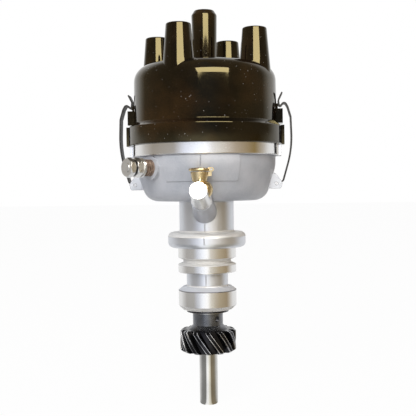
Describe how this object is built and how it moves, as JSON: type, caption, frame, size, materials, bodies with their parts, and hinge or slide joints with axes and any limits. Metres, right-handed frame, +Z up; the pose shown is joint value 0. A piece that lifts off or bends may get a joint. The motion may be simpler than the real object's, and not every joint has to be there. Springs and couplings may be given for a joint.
{
  "type": "ignition distributor",
  "caption": "Engine ignition distributor: cast housing with a moulded towered cap held by spring clips, breaker points inside, and a gear-driven shaft below the mounting flange.",
  "frame": {"origin": "on the shaft axis, at the underside of the mounting flange", "axes": "+Z up along the shaft toward the cap, X through the two cap clips, -Y toward the oil cup"},
  "size_m": [0.0942, 0.0985, 0.2146],
  "materials": {
    "cast_aluminium": "die-cast, matte, machined lands",
    "phenolic": "glossy dark brown-black moulding",
    "polished_steel": "ground and polished",
    "dark_steel": "blackened",
    "spring_steel": "plain strip",
    "zinc_steel": "zinc plated",
    "bronze": "sintered bronze",
    "brass": "turned brass",
    "bright_metal": "bright turned metal",
    "brown_insulator": "brown moulded insulator",
    "carbon": "moulded carbon",
    "tungsten": "contact metal",
    "felt": "oil felt",
    "lead_cover": "woven cover"
  },
  "bodies": {
    "housing": {"housing": "cast_aluminium", "upper_bushing": "bronze", "lower_bushing": "bronze", "front_stub": "bright_metal", "oiler_body": "brass", "oiler_hinge_pin": "polished_steel", "clip_pins": "polished_steel", "cap": "phenolic", "plug_terminals": "brass", "center_terminal": "brass", "carbon_button": "carbon", "terminal_insulator": "brown_insulator", "inner_insulator": "brown_insulator", "terminal_stud": "zinc_steel", "primary_strap": "brass", "terminal_washer": "zinc_steel", "terminal_inner_nut": "zinc_steel", "terminal_lock_washer": "dark_steel", "terminal_outer_nut": "zinc_steel", "breaker_plate": "zinc_steel", "breaker_plate_screws": "zinc_steel", "breaker_pivot": "polished_steel", "fixed_contact_point": "tungsten", "fixed_contact": "zinc_steel", "contact_screw": "zinc_steel", "breaker_spring": "spring_steel", "condenser": "zinc_steel", "condenser_bracket": "zinc_steel", "condenser_screw": "zinc_steel", "condenser_lead": "lead_cover"},
    "shaft": {"shaft": "polished_steel", "drive_gear": "dark_steel", "gear_pin": "dark_steel", "thrust_washer": "dark_steel", "shim_washer": "polished_steel", "advance_plate": "zinc_steel", "weight_pins": "polished_steel", "spring_posts": "polished_steel", "advance_springs": "spring_steel", "cam_retainer": "spring_steel"},
    "cam": {"cam": "polished_steel", "cam_felt": "felt", "rotor": "phenolic", "rotor_blade": "brass", "rotor_spring": "brass"},
    "weight_a": {"weight_a": "dark_steel"},
    "weight_b": {"weight_b": "dark_steel"},
    "breaker_arm": {"breaker_arm": "spring_steel", "rubbing_block": "brown_insulator", "moving_contact": "tungsten"},
    "clip_right": {"clip_right": "spring_steel"},
    "clip_left": {"clip_left": "spring_steel"},
    "oiler_lid": {"oiler_lid": "brass"}
  },
  "joints": [
    {"name": "shaft_spin", "type": "hinge", "parent": "housing", "child": "shaft", "pos_m": [0, 0, 0], "axis": [0, 0, 1], "continuous": true},
    {"name": "cam_advance", "type": "hinge", "parent": "shaft", "child": "cam", "pos_m": [0, 0, 0.05], "axis": [0, 0, -1], "range_deg": [0, 12], "deforming": ["advance_springs"]},
    {"name": "weight_a_swing", "type": "hinge", "parent": "shaft", "child": "weight_a", "pos_m": [0.01703, 0, 0.0365], "axis": [0, 0, -1], "range_deg": [0, 20]},
    {"name": "weight_b_swing", "type": "hinge", "parent": "shaft", "child": "weight_b", "pos_m": [-0.01703, 0, 0.0365], "axis": [0, 0, -1], "range_deg": [0, 20]},
    {"name": "breaker_arm_swing", "type": "hinge", "parent": "housing", "child": "breaker_arm", "pos_m": [-0.00283, -0.02551, 0.0504], "axis": [0, 0, -1], "range_deg": [-0.5, 12], "deforming": ["breaker_spring"]},
    {"name": "clip_right_open", "type": "hinge", "parent": "housing", "child": "clip_right", "pos_m": [0.0382, 0, 0.0341], "axis": [0, 1, 0], "range_deg": [0, 110]},
    {"name": "clip_left_open", "type": "hinge", "parent": "housing", "child": "clip_left", "pos_m": [-0.0382, 0, 0.0341], "axis": [0, -1, 0], "range_deg": [0, 110]},
    {"name": "oiler_lid_open", "type": "hinge", "parent": "housing", "child": "oiler_lid", "pos_m": [0.006, -0.045, 0.04106], "axis": [0, 1, 0], "range_deg": [0, 110]}
  ],
  "couplings": [
    {"joint": "weight_a_swing", "follows": "cam_advance", "ratio": 1.6667},
    {"joint": "weight_b_swing", "follows": "cam_advance", "ratio": 1.6667}
  ]
}
